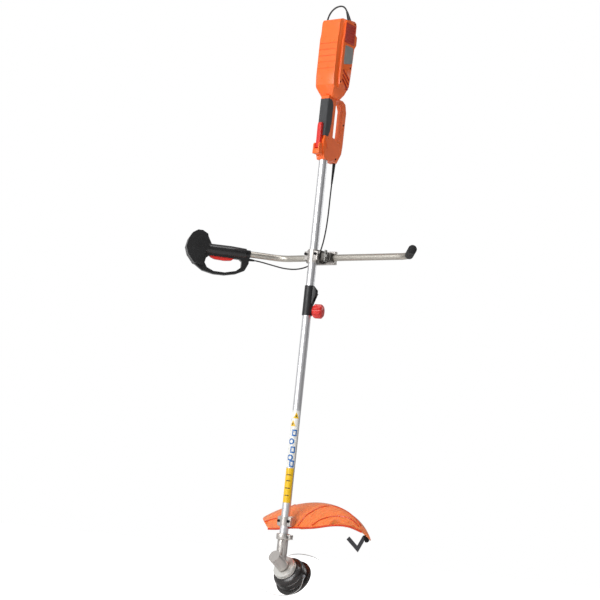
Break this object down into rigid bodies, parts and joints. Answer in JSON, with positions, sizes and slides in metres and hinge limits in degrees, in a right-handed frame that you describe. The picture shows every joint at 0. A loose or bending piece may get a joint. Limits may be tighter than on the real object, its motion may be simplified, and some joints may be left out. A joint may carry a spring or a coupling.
{
  "type": "string trimmer",
  "caption": "Electric string trimmer with a two-piece straight shaft, wide handlebar, rear motor housing, angled gear case, bump-feed line head and a domed guard.",
  "frame": {"origin": "on the drive tube's axis at the middle of the handlebar clamp, where the tool balances in the hands", "axes": "+Z along the drive tube from the cutting head to the motor, +X across to the right-hand side of the handlebar, +Y to the underside, where the guard and the rear loop are"},
  "size_m": [0.7852, 0.361, 1.8477],
  "materials": {
    "anodised_tube": "satin anodised",
    "steel": "plain",
    "black_nylon": "fine texture",
    "red_plastic": "semi-gloss",
    "cast_aluminium": "satin cast",
    "black_steel": "black oxide",
    "zinc_steel": "bright zinc",
    "rubber": "matte",
    "orange_plastic": "semi-gloss",
    "grey_soft_grip": "soft touch",
    "carbon": "pressed carbon",
    "brass": "plain",
    "bright_aluminium": "turned",
    "nylon_line": "translucent",
    "orange_guard": "translucent gloss"
  },
  "bodies": {
    "trimmer": {"upper_tube": "anodised_tube", "upper_shaft_bushings": "black_nylon", "coupler_sleeve": "black_nylon", "latch_spring": "steel", "bar_bracket": "cast_aluminium", "bracket_front_cap": "cast_aluminium", "bracket_rear_cap": "cast_aluminium", "bracket_screws": "black_steel", "rear_housing_left": "orange_plastic", "rear_housing_right": "orange_plastic", "soft_grip_front": "grey_soft_grip", "soft_grip_back": "grey_soft_grip", "lever_pin": "steel", "lockoff_switch": "black_nylon", "air_grille": "red_plastic", "housing_screws": "black_steel", "motor_stator": "steel", "carbon_brushes": "carbon", "motor_bearings": "steel", "mains_strain_relief": "rubber", "mains_cord": "rubber", "mains_plug": "rubber", "plug_pins": "brass", "switch_cable_relief": "rubber", "switch_cable": "rubber"},
    "handlebar_assembly": {"handlebar": "anodised_tube", "right_grip": "rubber", "switch_grip_front_shell": "black_nylon", "switch_grip_back_shell": "black_nylon", "trigger_pin": "steel", "grip_switch": "black_nylon", "cable_boot": "rubber"},
    "trigger": {"throttle_trigger": "red_plastic"},
    "wing": {"wing_screw": "zinc_steel"},
    "knob": {"coupler_knob": "red_plastic"},
    "latch": {"latch_button": "black_nylon"},
    "lever": {"safety_lever": "red_plastic"},
    "rotor": {"motor_armature": "steel", "cooling_fan": "black_nylon", "upper_drive_shaft": "steel"},
    "lower_unit": {"lower_tube": "anodised_tube", "lower_shaft_bushings": "black_nylon", "gear_case": "cast_aluminium", "gear_case_bearings": "steel", "lower_bolts": "black_steel", "guard_clamp_block": "zinc_steel", "guard_clamp_strap": "zinc_steel", "guard": "orange_guard", "line_cutter": "black_steel"},
    "lower_shaft": {"lower_drive_shaft": "steel"},
    "head": {"output_spindle": "steel", "bevel_gear": "steel", "head_flange": "bright_aluminium", "head_cup": "black_nylon", "line_eyelets": "bright_aluminium", "head_spring": "steel", "trim_line_1": "nylon_line", "trim_line_2": "nylon_line"},
    "bump_foot": {"line_spool": "red_plastic", "bump_knob": "black_nylon"}
  },
  "joints": [
    {"name": "motor_spin", "type": "hinge", "parent": "trimmer", "child": "rotor", "pos_m": [0, 0, 0.6], "axis": [0, 0, 1], "continuous": true},
    {"name": "lower_unit_pull", "type": "slide", "parent": "trimmer", "child": "lower_unit", "axis": [0, 0, -1], "range_m": [0, 0.065]},
    {"name": "lower_shaft_spin", "type": "hinge", "parent": "lower_unit", "child": "lower_shaft", "pos_m": [0, 0, -0.5], "axis": [0, 0, 1], "continuous": true},
    {"name": "head_spin", "type": "hinge", "parent": "lower_unit", "child": "head", "pos_m": [0, 0, -0.937], "axis": [0, 0.866, -0.5], "continuous": true},
    {"name": "bump_feed", "type": "slide", "parent": "head", "child": "bump_foot", "axis": [0, -0.866, 0.5], "range_m": [0, 0.005], "stiffness_N_per_m": 1500, "springref_m": -0.006, "deforming": ["head_spring"]},
    {"name": "handlebar_tilt", "type": "hinge", "parent": "trimmer", "child": "handlebar_assembly", "pos_m": [0, 0.028, 0], "axis": [1, 0, 0], "range_deg": [-20, 30], "deforming": ["switch_cable"]},
    {"name": "trigger_squeeze", "type": "hinge", "parent": "handlebar_assembly", "child": "trigger", "pos_m": [-0.2832, -0.14024, -0.013], "axis": [0.7682, -0.6402, 0], "range_deg": [0, 6], "stiffness_Nm_per_rad": 1.2, "springref_deg": -14.32},
    {"name": "wing_screw_turn", "type": "hinge", "parent": "trimmer", "child": "wing", "pos_m": [0.052, 0, 0], "axis": [0, -1, 0], "range_deg": [0, 360]},
    {"name": "coupler_knob_turn", "type": "hinge", "parent": "trimmer", "child": "knob", "pos_m": [0, 0, -0.169], "axis": [0.9397, 0.342, 0], "range_deg": [0, 360]},
    {"name": "latch_pull", "type": "slide", "parent": "trimmer", "child": "latch", "axis": [0.9397, 0.342, 0], "range_m": [0, 0.004], "stiffness_N_per_m": 500, "springref_m": -0.008, "deforming": ["latch_spring"]},
    {"name": "safety_lever_press", "type": "hinge", "parent": "trimmer", "child": "lever", "pos_m": [0, -0.034, 0.338], "axis": [-1, 0, 0], "range_deg": [0, 5], "stiffness_Nm_per_rad": 1, "springref_deg": -17.19}
  ],
  "couplings": [
    {"joint": "lower_shaft_spin", "follows": "motor_spin", "ratio": 1},
    {"joint": "head_spin", "follows": "motor_spin", "ratio": 0.8}
  ]
}
